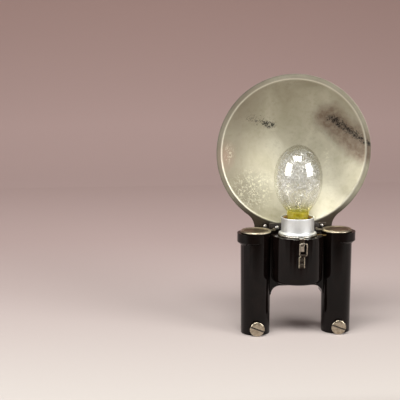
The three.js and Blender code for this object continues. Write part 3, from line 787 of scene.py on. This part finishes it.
def reflector_sheet():
    """The dish and its tongue as one sheet: rings out to the dish's edge, then rows out to the tongue's."""
    around = 384
    rings = 96
    rows = 14
    bm = bmesh.new()
    angles = sheet_angles(around)
    centre = bm.verts.new((0, DISH_FRONT + dish_drop(0), DISH_Z))
    grid = []
    for ring in range(1, rings + 1):
        grid.append([sheet_vertex(bm, a, DISH_R * ring / rings) for a in angles])
    for i in range(around):
        j = (i + 1) % around
        bm.faces.new((centre, grid[0][i], grid[0][j]))
        for low, high in zip(grid, grid[1:]):
            bm.faces.new((low[i], high[i], high[j], low[j]))

    columns = []
    for i, a in enumerate(angles):
        reach = tongue_reach(a)
        column = [grid[-1][i]]
        if reach > DISH_R + 0.02 * MM:
            for k in range(1, rows + 1):
                column.append(sheet_vertex(bm, a, DISH_R + (reach - DISH_R) * k / rows))
        columns.append(column)
    for i in range(around):
        first, second = columns[i], columns[(i + 1) % around]
        for k in range(1, max(len(first), len(second))):
            corners = [first[min(k - 1, len(first) - 1)], first[min(k, len(first) - 1)],
                       second[min(k, len(second) - 1)], second[min(k - 1, len(second) - 1)]]
            unique = list(dict.fromkeys(corners))
            if len(unique) > 2:
                bm.faces.new(unique)

    obj = new_object("reflector_dish", bm)
    thick = obj.modifiers.new("sheet", "SOLIDIFY")
    thick.thickness = SHEET
    facing_back = sum(p.normal.y * p.area for p in obj.data.polygons) > 0
    thick.offset = 1 if facing_back else -1
    return smooth(applied(obj), 50)


def mark_front(obj):
    """Puts the marks on the sheet's front. Of them only the painted shade on the tongue shows on the back
    too.
    """
    marks = []
    for v in obj.data.vertices:
        mark = dish_marks(v.co.x, v.co.z - DISH_Z)
        front = DISH_FRONT + dish_drop(math.hypot(v.co.x, v.co.z - DISH_Z))
        if v.co.y > front + SHEET * 0.45:
            mark = {key: value if key == "tongue" else 0.0 for key, value in mark.items()}
        marks.append(mark)
    for key in marks[0]:
        paint(obj, key, [mark[key] for mark in marks])


def reflector():
    sheet = reflector_sheet()
    bevel(sheet, 0.16 * MM, 2, 60)
    mark_front(sheet)
    finish_piece(sheet, DISH_METAL, "cover", "aluminium", "reflector")


# ---- socket ----

def socket_collar():
    """A spun sleeve: a rolled foot, a cove, a straight wall and a bead under the rim."""
    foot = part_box("socket_collar")[0].z
    wide = span("socket_collar").x / 2
    inner = COLLAR_R - 0.8 * MM
    roll = 0.5 * MM
    cove = 1.1 * MM
    profile = [(inner, foot), *arc(wide - roll, foot + roll, roll, -90, 90, 6),
               (wide - 1.1 * MM, foot + 1.05 * MM), (wide - 1.5 * MM, foot + 1.2 * MM),
               *arc(COLLAR_R + cove, foot + 2.5 * MM, cove, 245, 180, 5),
               (COLLAR_R, foot + 3.6 * MM), (COLLAR_R, COLLAR_RIM - 1.6 * MM),
               (COLLAR_R + 0.12 * MM, COLLAR_RIM - 1.35 * MM),
               *arc(COLLAR_R - 0.3 * MM, COLLAR_RIM - roll, roll, 0, 110, 6),
               (inner, COLLAR_RIM - 0.35 * MM)]
    obj = smooth(lathe("collar_spun", profile, (0, SOCKET_Y), 96, closed=True), 40)
    finish_piece(obj, SPUN, "cover", "aluminium", "socket_collar")


def thread_profile(outer, low, high, depth, wall):
    """One side of a rolled screw shell, cut as rounded rings."""
    steps = 8
    rows = int((high - low) / THREAD_PITCH) * steps
    out = []
    for i in range(rows + 1):
        groove = 0.5 - 0.5 * math.cos(2 * math.pi * i / steps)
        out.append((outer - depth * groove, low + (high - low) * i / rows))
    back = [(r - wall, z) for r, z in reversed(out)]
    return out + back


def screw_shell(name, node, body, material, depth, wall):
    low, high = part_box(node)
    profile = thread_profile((high.x - low.x) / 2, low.z, high.z, depth, wall)
    shell = smooth(lathe(name, profile, (0, SOCKET_Y), 72, closed=True), 60)
    finish_piece(shell, material, body, "brass", node)


def flange_plate():
    """The plated ring on the barrel, with a round edge and a slightly sunk face."""
    bottom = BARREL_TOP + 0.3 * MM
    inner = 14.7 * MM
    sunk = FLANGE_TOP - 0.2 * MM
    edge = arc(RING_R - 0.5 * MM, (bottom + FLANGE_TOP) / 2, (FLANGE_TOP - bottom) / 2, -90, 90, 8)
    profile = [(inner, bottom), *edge, (RING_R - 1.4 * MM, FLANGE_TOP), (RING_R - 1.8 * MM, sunk),
               (inner, sunk)]
    ring = smooth(lathe("flange_plate", profile, (0, SOCKET_Y), 96, closed=True), 40)
    finish_piece(ring, RING_METAL, "cover", "plated", "flange_ring")


def catch_strip():
    """The flange's front strip, bent down over the barrel, with a hump for the bail."""
    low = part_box("flange_ring")[0]
    face = low.y + 0.9 * MM
    half = 2.4 * MM
    start = SOCKET_Y - RING_R + 2 * MM
    bend = 1.1 * MM
    hump = 0.9 * MM
    hump_z = 94.7 * MM
    outline = [(start, FLANGE_TOP - SHEET), (start, FLANGE_TOP),
               *arc(face + bend, FLANGE_TOP - bend, bend, 90, 180, 6),
               (face, hump_z + 1.5 * MM), (face - 0.75 * MM, hump_z + 0.5 * MM), (face - hump, hump_z),
               (face - 0.75 * MM, hump_z - 0.5 * MM), (face, hump_z - 1.1 * MM),
               (face, low.z), (face + SHEET, low.z),
               *arc(face + bend, FLANGE_TOP - bend, bend - SHEET, 180, 90, 6)]
    strip = bevel(prism("catch_strip", outline, "X", -half, half), 0.15 * MM, 2, 35)
    finish_piece(strip, CATCH_METAL, "cover", "plated")


def battery_cap(label, side):
    """A pressed cap: a rolled edge, a raised ring and a dished middle that is worn."""
    node = "battery_cap_" + label
    low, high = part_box(node)
    r = 15.23 * MM
    bottom, top = low.z, high.z
    dished = top - 1.12 * MM
    profile = [(0, bottom), (r - 0.8 * MM, bottom),
               *arc(r - 0.7 * MM, bottom + 0.75 * MM, 0.7 * MM, -60, 60, 5),
               (r - 0.9 * MM, top - 0.15 * MM), (r - 1.4 * MM, top), (r - 2.0 * MM, top - 0.12 * MM),
               (r - 2.9 * MM, top - 0.75 * MM), (r - 3.8 * MM, top - 1.0 * MM),
               (r * 0.5, top - 1.1 * MM), (r * 0.25, dished), (0, dished)]
    cap = smooth(lathe("cap_" + label, profile, (side * LEG_X, LEG_Y), 96), 55)
    worn = []
    for v in cap.data.vertices:
        away = math.hypot(v.co.x - side * LEG_X, v.co.y - LEG_Y)
        worn.append(1.0 if away < r * 0.76 else 0.0)
    paint(cap, "worn", worn)
    finish_piece(cap, CAP_METAL, "cover", "plated", node)

    # the tab at the cap's inner side, whose end is curled up like a bead
    curl_r = 1.1 * MM
    thick = 0.55 * MM
    curl_x = (high.x if side < 0 else low.x) + side * curl_r
    curl_z = bottom + curl_r
    root = side * (LEG_X - r + 1.2 * MM)
    turn = [math.radians(-90 - side * 20 * k) for k in range(15)]
    outer = [(curl_x + curl_r * math.cos(a), curl_z + curl_r * math.sin(a)) for a in turn]
    inner = [(curl_x + thick * math.cos(a), curl_z + thick * math.sin(a)) for a in turn]
    outline = [(root, bottom), *outer, *reversed(inner), (curl_x, bottom + thick), (root, bottom + thick)]
    tab = prism("cap_tab_" + label, outline, "Y", LEG_Y + 4.2 * MM, LEG_Y + 9 * MM)
    bevel(tab, 0.12 * MM, 2, 40)
    finish_piece(tab, CAP_METAL, "cover", "plated")


# ---- fasteners and catch ----

def terminal_screw(label, side):
    """A coin screw, made along Z: a threaded shank with a wide slotted head on top."""
    node = "terminal_screw_" + label
    low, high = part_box(node)
    head = (high.x - low.x) / 2
    face = LEG_Y - low.y
    end = high.y - LEG_Y
    seat = 16.7 * MM
    shank = 2.1 * MM
    pitch = 0.8 * MM
    depth = 0.35 * MM
    thread = []
    z = -end + pitch
    while z < seat - 1 * MM:
        thread += [(shank, z), (shank - depth, z + pitch / 2)]
        z += pitch
    crown = 1.1 * MM
    profile = [(0, -end), (shank - 2 * depth, -end), *thread, (shank, seat), (head - 0.4 * MM, seat),
               (head, seat + 0.35 * MM), (head, face - 1.0 * MM),
               *arc(head - crown, face - 1.15 * MM, crown, 8, 78, 6), (head * 0.5, face), (0, face)]
    obj = lathe("coin_screw_" + label, profile, segments=72)

    slot_half = 0.8 * MM
    slot_depth = 1.2 * MM
    slot_tilt = 0.38
    slot = block("slot", (-20 * MM, -slot_half, face - slot_depth), (20 * MM, slot_half, face + 3 * MM))
    slot.data.transform(Matrix.Rotation(-slot_tilt, 4, "Z"))
    combine(obj, [slot], "DIFFERENCE")
    smooth(obj, 40)
    face_front(obj, (side * TERM_X, LEG_Y, TERM_Z))
    finish_piece(obj, SCREW_METAL, f"terminal_{label}_turn", "brass", node)

    # the faces in the slot get a darker finish
    obj.data.materials.append(DARK_SLOT)
    for polygon in obj.data.polygons:
        sunk = polygon.center.y - low.y
        away = math.hypot(polygon.center.x - side * TERM_X, polygon.center.z - TERM_Z)
        if 0.1 * MM < sunk < slot_depth + 0.1 * MM and away < head - 1.2 * MM:
            polygon.material_index = 1


def dome_rivet(node, body):
    """A rivet from its tail at the back to its round head at the front."""
    low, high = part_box(node)
    centre = (low + high) / 2
    r = (high.x - low.x) / 2
    length = high.y - low.y
    shank = 1.1 * MM
    height = 1.1 * MM
    dome = []
    for k in range(7):
        a = math.pi / 2 * k / 7
        dome.append((r * math.cos(a), length - height + height * math.sin(a)))
    profile = [(0, 0), (shank, 0), (shank, length - height), *dome, (0, length)]
    obj = smooth(lathe("dome_" + node, profile, segments=32), 50)
    face_front(obj, (centre.x, high.y, centre.z))
    finish_piece(obj, STEEL, body, "steel", node)


def wire_bail():
    """The bail: one wire in a tall loop, whose ends nearly meet at its foot."""
    low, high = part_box("latch_bail")
    wire = 0.7 * MM
    half = (high.x - low.x) / 2 - wire
    foot = Vector(((low.x + high.x) / 2, high.y - wire, low.z + wire))
    tall = high.z - wire - foot.z
    lean = (low.y + wire - foot.y) / tall
    bend = 1.7 * MM
    gap = 0.5 * MM
    loop = [(gap, 0), *arc(half - bend, bend, bend, -90, 0, 8),
            *arc(half - bend, tall - bend, bend, 0, 90, 8),
            *arc(bend - half, tall - bend, bend, 90, 180, 8),
            *arc(bend - half, bend, bend, 180, 270, 8), (-gap, 0)]
    bm = bmesh.new()
    tube(bm, [foot + Vector((x, z * lean, z)) for x, z in loop], wire, 14)
    obj = smooth(new_object("bail_wire", bm), 50)
    finish_piece(obj, CATCH_METAL, "latch_bail", "steel", "latch_bail")


def keeper_plate():
    """The riveted plate under the bail, with a bright rib round its top and sides."""
    low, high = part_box("latch_keeper")
    plate = fine_copy("latch_keeper", 0.18 * MM)
    finish_piece(plate, KEEPER_STEEL, "root", "steel", "latch_keeper")
    rib_r = 0.5 * MM
    bend = 1.6 * MM
    half = (high.x - low.x) / 2 - rib_r
    face = high.y - SHEET - 0.25 * MM
    bottom, top = low.z + 0.6 * MM, high.z - 3.2 * MM
    path = [(-half, bottom), *arc(bend - half, top - bend, bend, 180, 90, 6),
            *arc(half - bend, top - bend, bend, 90, 0, 6), (half, bottom)]
    bm = bmesh.new()
    tube(bm, [Vector((x, face, z)) for x, z in path], rib_r, 10)
    rib = smooth(new_object("keeper_rib", bm), 50)
    finish_piece(rib, NICKEL, "root", "steel")


# ---- bulb ----

def pear(z):
    """Outer radius of the glass at a height: a blunt dome above, an egg's end below."""
    widest = BULB_TOP - BULB_HALF
    if z >= widest:
        s = min(1.0, (z - widest) / (BULB_TOP - widest))
        return BULB_R * (max(0.0, 1 - s ** 2.1)) ** 0.52
    t = (widest - z) / BULB_HALF
    if t >= 1:
        return NECK_R
    return NECK_R + (BULB_R - NECK_R) * (1 - t ** 2.5) ** 1.1


def glass_envelope():
    low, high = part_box("bulb_glass")
    rows = 90
    crown_rows = 26
    crown = 2.2 * MM
    outer = []
    for i in range(rows + 1):
        z = low.z + (high.z - crown - low.z) * i / rows
        outer.append((pear(z), z))
    crown_low = outer[-1][1]
    for i in range(1, crown_rows + 1):
        z = crown_low + (high.z - crown_low) * math.sin(math.pi / 2 * i / crown_rows)
        outer.append((pear(z) if i < crown_rows else 0, z))
    inner = [(max(r - GLASS_WALL, 0), z - GLASS_WALL * ((z - low.z) / (high.z - low.z)) ** 6)
             for r, z in outer]
    inner[-1] = (0, high.z - GLASS_WALL)
    obj = lathe("glass_envelope", outer + inner[::-1], (0, SOCKET_Y), 96)

    # join the two walls at the foot
    bm = bmesh.new()
    bm.from_mesh(obj.data)
    bmesh.ops.remove_doubles(bm, verts=bm.verts, dist=1e-4 * MM)
    bmesh.ops.bridge_loops(bm, edges=[e for e in bm.edges if e.is_boundary])
    bmesh.ops.recalc_face_normals(bm, faces=bm.faces)
    bm.to_mesh(obj.data)
    bm.free()
    smooth(obj, 60)

    # the stain is full at the collar's rim and fades out above it
    stain_top = COLLAR_RIM + 14 * MM
    fade = 9 * MM
    paint(obj, "stain", [rise(-v.co.z, -stain_top, fade - stain_top) ** 1.5 for v in obj.data.vertices])
    finish_piece(obj, GLASS, "bulb_turn", "glass", "bulb_glass")


def foil_ribbon(bm, draw, at):
    """One ribbon of foil, which curls and twists at random and turns back at the glass."""
    low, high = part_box("foil_fill")
    step = 1.3
    along = Vector([draw.gauss(0, 1) for _ in range(3)]).normalized()
    side = along.orthogonal().normalized()
    side.rotate(Matrix.Rotation(draw.uniform(0, 6.28), 3, along))
    half_width = draw.uniform(0.12, 0.4) * MM
    curl = draw.uniform(-0.55, 0.55)
    twist = draw.uniform(-0.5, 0.5)
    before = None
    for _ in range(draw.randint(7, 14)):
        pair = (bm.verts.new(at - side * half_width), bm.verts.new(at + side * half_width))
        if before:
            bm.faces.new((before[0], before[1], pair[1], pair[0]))
        before = pair
        up = along.cross(side)
        along.rotate(Matrix.Rotation(curl + draw.uniform(-0.3, 0.3), 3, side))
        side.rotate(Matrix.Rotation(twist, 3, along))
        along = (along + up * draw.uniform(-0.2, 0.2)).normalized()
        side = (side - along * side.dot(along)).normalized()
        at = at + along * step * MM
        limit = max(pear(at.z) - 2.9 * MM, 1 * MM)
        out = Vector((at.x, at.y - SOCKET_Y))
        if out.length > limit:
            out = out * (limit / out.length)
            at = Vector((out.x, out.y + SOCKET_Y, at.z))
            along = (along + Vector((-out.x, -out.y, 0)).normalized() * 0.6).normalized()
        at.z = min(max(at.z, low.z), high.z - 2.5 * MM)


def foil_fill():
    """Loose shredded foil: narrow curled ribbons scattered through the bulb."""
    draw = random.Random(7)
    ribbons = 520
    low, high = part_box("foil_fill")
    bm = bmesh.new()
    for _ in range(ribbons):
        z = draw.triangular(low.z + 3 * MM, high.z - 5 * MM, high.z - 26 * MM)
        reach = max(pear(z) - 4.0 * MM, 2 * MM)
        radius = reach * draw.random() ** 0.6
        turn = draw.uniform(0, 2 * math.pi)
        foil_ribbon(bm, draw, Vector((radius * math.cos(turn), SOCKET_Y + radius * math.sin(turn), z)))
    obj = new_object("shredded_foil", bm)
    sheet = obj.modifiers.new("sheet", "SOLIDIFY")
    sheet.thickness = 0.05 * MM
    applied(obj)
    smooth(obj, 60)
    finish_piece(obj, FOIL, "bulb_turn", "foil", "foil_fill")


def basing_cement():
    """The yellow ring that fills the neck: straight outside, with a soft rim and a sunk middle."""
    r = 10.3 * MM
    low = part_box("glass_stem")[0].z
    top = COLLAR_RIM + 6.2 * MM
    profile = [(0, low), (r - 0.8 * MM, low), (r, low + 1 * MM), (r, top - 0.6 * MM), (r - 0.5 * MM, top),
               (r - 2.6 * MM, top - 0.2 * MM), (r - 3.2 * MM, top - 1.8 * MM), (0, top - 2 * MM)]
    ring = smooth(lathe("basing_cement", profile, (0, SOCKET_Y), 64), 50)
    finish_piece(ring, CEMENT, "bulb_turn", "amber", "glass_stem")


def pinched_stem():
    """The clear stem on the cement: a flared foot, a thin waist and a small pinch, flattened."""
    low = COLLAR_RIM + 4 * MM
    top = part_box("glass_stem")[1].z
    profile = [(0, low), (5 * MM, low), (3.2 * MM, low + 2.5 * MM), (2.3 * MM, low + 5 * MM),
               (1.7 * MM, top - 2.5 * MM), (2.2 * MM, top - 1.4 * MM), (0, top)]
    stem = smooth(lathe("pinched_stem", profile, segments=40), 50)
    stem.data.transform(Matrix.Translation((0, SOCKET_Y, 0)) @ Matrix.Diagonal((1.5, 0.6, 1, 1)))
    finish_piece(stem, GLASS, "bulb_turn", "amber")


def lead_wires():
    """Two wires that spread out of the stem, and the thin filament between their tips."""
    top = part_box("glass_stem")[1].z
    points = 12
    bm = bmesh.new()
    for side in (-1, 1):
        path = []
        for k in range(points):
            s = k / (points - 1)
            spread = (1.4 + 3.4 * s ** 0.8) * MM
            path.append(Vector((side * spread, SOCKET_Y, top - 3 * MM + s * 11 * MM)))
        tube(bm, path, 0.35 * MM, 8)
    points = 17
    filament = []
    for k in range(points):
        s = k / (points - 1)
        wave = 0.4 * MM * math.sin(k * 1.6)
        rise_z = 0.5 * MM * math.sin(math.pi * s)
        filament.append(Vector(((-4.6 + 9.2 * s) * MM, SOCKET_Y + wave, top + 7.4 * MM + rise_z)))
    tube(bm, filament, 0.12 * MM, 6)
    leads = smooth(new_object("lead_wires", bm), 50)
    finish_piece(leads, STEEL, "bulb_turn", "steel")


# ---- the CAD pieces that keep their shape ----

FINISHES = {"steel": STEEL, "brass": BRASS, "fibre": FIBRE, "paper": CARD}


def remaining_pieces():
    """Shows every node that nothing replaces, with rounded edges and the finish of its slot."""
    slots = {part["node"]: part["material_slot"] for part in frame["record"]["subparts"]}
    for body, nodes in frame["record"]["behaviour"]["bodies"].items():
        for node in nodes:
            if frame["nodes"][node].hide_render:
                continue
            dark = node.startswith(("hinge_leaf", "keeper_rivet"))
            look = DARK_STEEL if dark else FINISHES[slots[node]]
            finish_piece(fine_copy(node), look, body, slots[node], node)


# ---- studio ----

LOOK_AT = Vector((0, 0, 0.13))


def paper():
    """Matt backdrop paper with a fine tooth, its colour painted with light and shade: a painted dark band
    in front of the object, pale under it, and further back pinker, lighter and then darker as painted
    falloff.
    """
    m = Nodes("paper_backdrop")
    m.set(Specular_IOR_Level=0.1)
    tooth = m.noise(180, 4)
    split = m.add("ShaderNodeSeparateXYZ")
    m.link(m.place, split.inputs["Vector"])
    far = m.level(split.outputs["Y"], -0.8, 2.2)
    # painted shade in front of the object for the glossy body to reflect, pale under it, and painted
    # falloff further back
    tone = m.ramp(far, [(0.13, (0.07, 0.05, 0.04)), (0.2, (0.55, 0.52, 0.49)),
                        (0.3, (0.53, 0.46, 0.44)), (0.42, (0.56, 0.44, 0.42)),
                        (0.7, (0.69, 0.51, 0.48)), (1.0, (0.47, 0.29, 0.25))])
    m.color(m.mix(m.level(m.noise(2.2, 2), 0.3, 0.7, 0, 0.06), tone, (0.6, 0.45, 0.4)))
    m.rough(m.level(tooth, 0.3, 0.7, 0.75, 0.9))
    m.normal(m.bump(tooth, 0.1, 0.2 * MM))
    return m.material


def backdrop():
    """One sheet of paper: a flat floor that sweeps up behind the object."""
    half_width = 5.0
    front = -3.0
    bend_y = 0.9
    bend = 1.4
    top = 4.0
    curve = arc(bend_y, bend, bend, -90, 0, 24)
    sweep = [(front, 0.0), (bend_y, 0.0), *curve, (bend_y + bend, top)]
    bm = bmesh.new()
    rows = [[bm.verts.new((x, y, z)) for x in (-half_width, half_width)] for y, z in sweep]
    for a, b in zip(rows, rows[1:]):
        bm.faces.new((a[0], a[1], b[1], b[0]))
    floor = smooth(new_object("floor", bm), 60)
    floor.data.materials.append(paper())


def softbox(name, place, wide, tall, power):
    """A soft lamp that looks at the middle of the object."""
    lamp = bpy.data.lights.new(name, "AREA")
    lamp.shape = "RECTANGLE"
    lamp.size = wide
    lamp.size_y = tall
    lamp.energy = power
    lamp.color = (1, 0.98, 0.96)
    obj = bpy.data.objects.new(name, lamp)
    obj.location = place
    obj.rotation_mode = "QUATERNION"
    obj.rotation_quaternion = (LOOK_AT - Vector(place)).to_track_quat("-Z", "Y")
    bpy.context.scene.collection.objects.link(obj)


def studio():
    backdrop()
    bpy.context.scene.view_settings.view_transform = "Standard"
    world = bpy.data.worlds.new("soft_room")
    bpy.context.scene.world = world
    world.use_nodes = True
    background = world.node_tree.nodes["Background"]
    background.inputs["Color"].default_value = (0.9, 0.86, 0.84, 1)
    background.inputs["Strength"].default_value = 0.1
    softbox("left_softbox", (-1.15, -0.6, 0.62), 0.85, 0.85, 14)
    softbox("right_softbox", (1.0, -0.9, 0.6), 0.85, 0.85, 18)
    softbox("high_softbox", (-0.25, -0.75, 1.5), 1.0, 0.6, 23.5)


def direction(heading, pitch):
    """The way something looks, with 0 heading along +Y, more of it towards +X, and pitch upwards."""
    return Vector((math.sin(heading) * math.cos(pitch), math.cos(heading) * math.cos(pitch),
                   math.sin(pitch)))


def camera():
    """The view: from the front, a little to the left and above."""
    azimuth, elevation = math.radians(-9.9), math.radians(10.2)
    heading, pitch = math.radians(5.397), math.radians(-10.05)
    distance = 1.2414
    lens = bpy.data.cameras.new("camera")
    lens.lens = 112.47
    lens.sensor_width = 36
    obj = bpy.data.objects.new("camera", lens)
    bpy.context.scene.collection.objects.link(obj)
    obj.location = Vector((0, LEG_Y, LOOK_AT.z)) - direction(-azimuth, -elevation) * distance
    obj.rotation_mode = "QUATERNION"
    obj.rotation_quaternion = direction(heading, pitch).to_track_quat("-Z", "Y")
    bpy.context.scene.camera = obj


camera()
studio()
moulded_body()
reflector()
socket_collar()
screw_shell("socket_thread", "socket_shell", "cover", BRASS, 0.35 * MM, 0.5 * MM)
screw_shell("base_thread", "base_shell", "bulb_turn", BASE_BRASS, 0.75 * MM, 0.4 * MM)
flange_plate()
catch_strip()
for label, side in (("left", -1), ("right", 1)):
    battery_cap(label, side)
    terminal_screw(label, side)
for number in range(1, 5):
    dome_rivet(f"reflector_rivet_{number}", "cover")
wire_bail()
keeper_plate()
glass_envelope()
foil_fill()
basing_cement()
pinched_stem()
lead_wires()
remaining_pieces()
